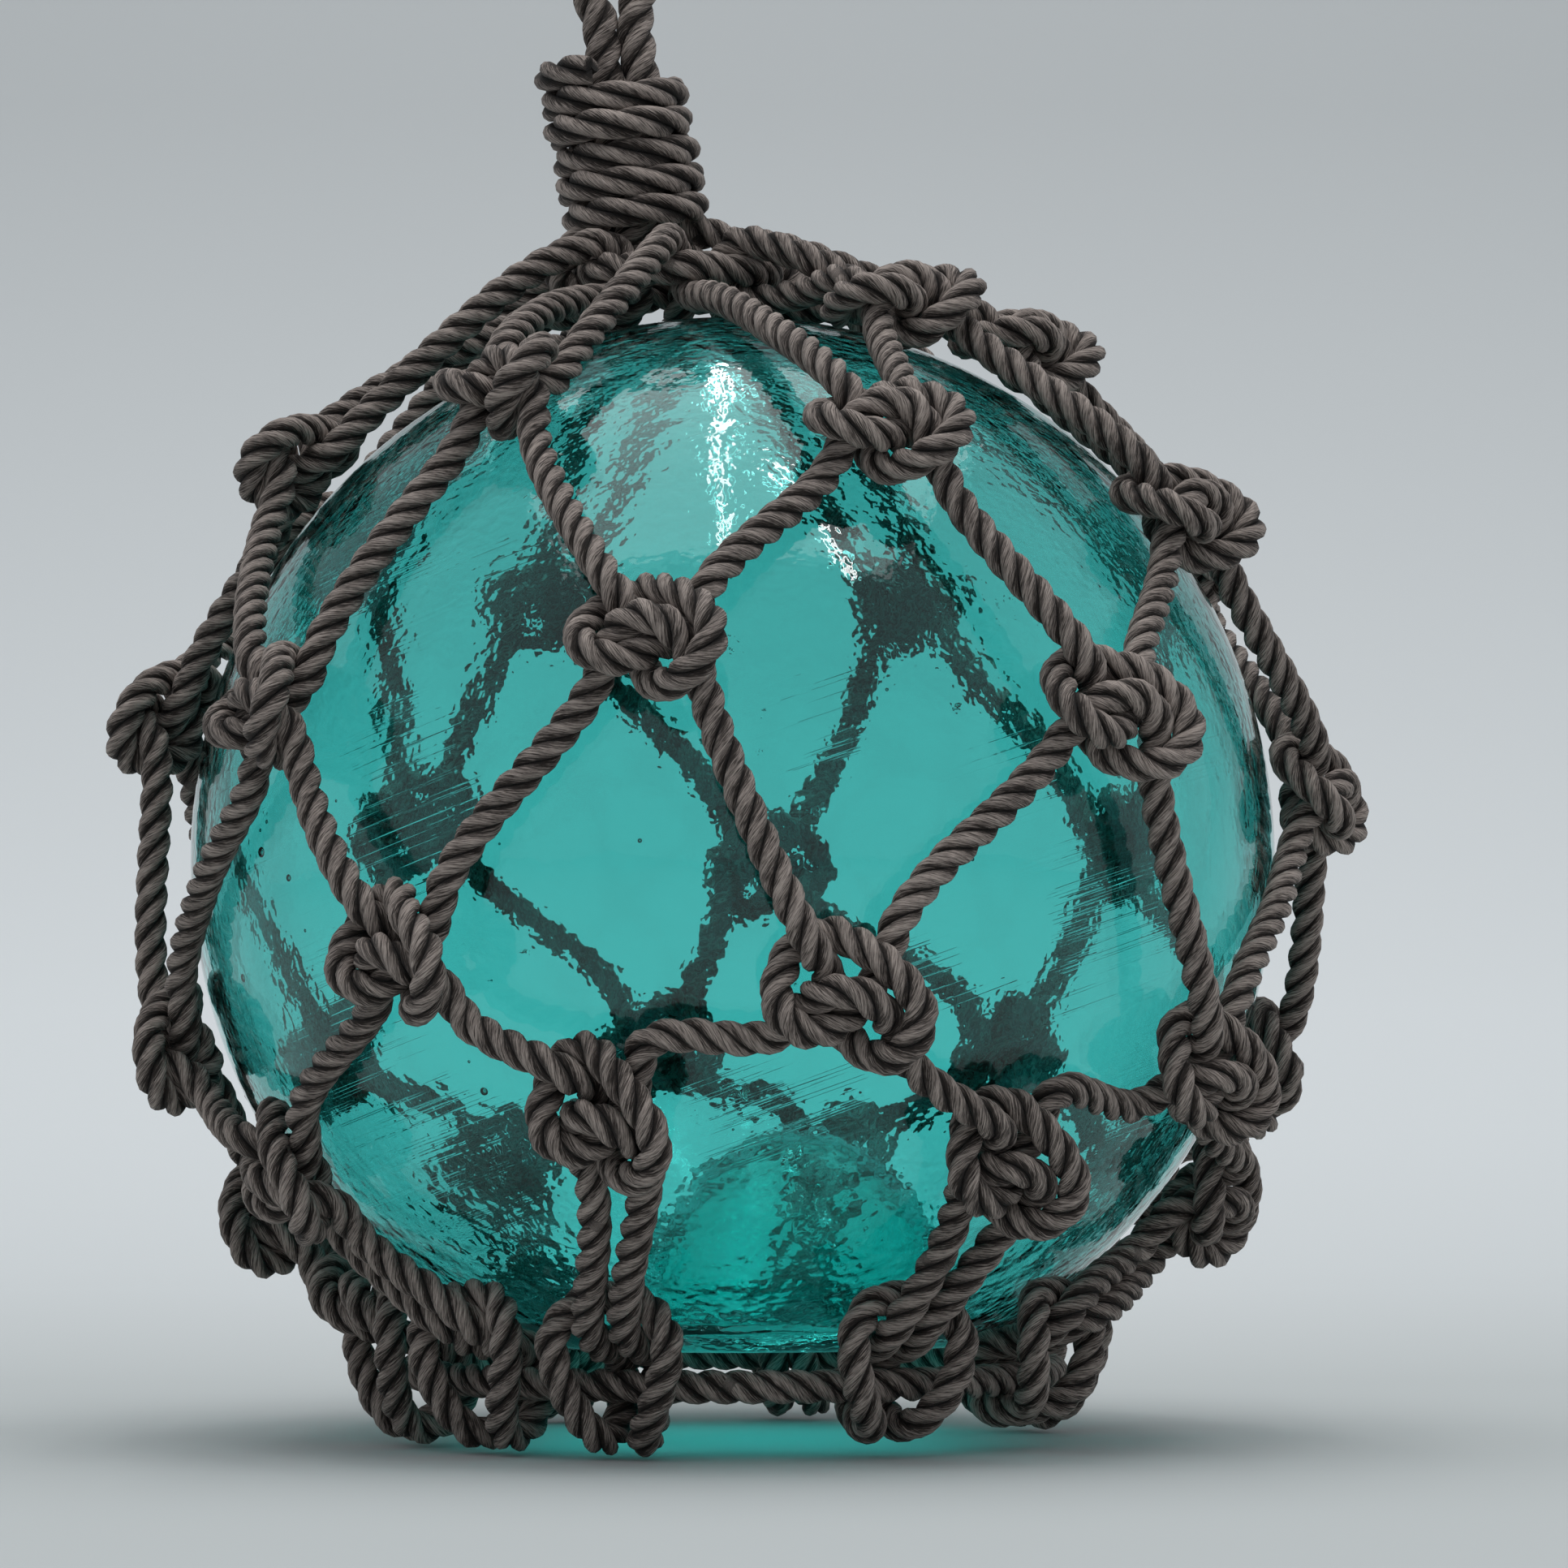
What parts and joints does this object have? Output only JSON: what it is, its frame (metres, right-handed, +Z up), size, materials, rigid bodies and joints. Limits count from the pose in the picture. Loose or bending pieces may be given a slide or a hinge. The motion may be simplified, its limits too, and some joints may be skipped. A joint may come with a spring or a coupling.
{
  "type": "glass float ball",
  "caption": "Teal glass float ball in a knotted net of brown laid rope, with a whipped neck and a hanging loop.",
  "frame": {"origin": "on the floor that the net's foot stands on, in the middle of the object's box", "axes": "+Z up from the foot to the hanging loop, -Y towards the front, where the ball shows between the best-seen knots, +X to the front's right"},
  "size_m": [0.359, 0.3576, 0.4709],
  "materials": {
    "teal_glass": "clear, teal, slightly rippled",
    "net_rope": "three-strand laid rope",
    "ring_rope": "three-strand laid rope",
    "whipping_rope": "three-strand laid rope",
    "loop_rope": "three-strand laid rope"
  },
  "bodies": {
    "root": {"glass_ball": "teal_glass", "rope_net": "net_rope", "base_ring": "ring_rope", "neck_whipping": "whipping_rope", "hanging_loop": "loop_rope"}
  },
  "joints": []
}
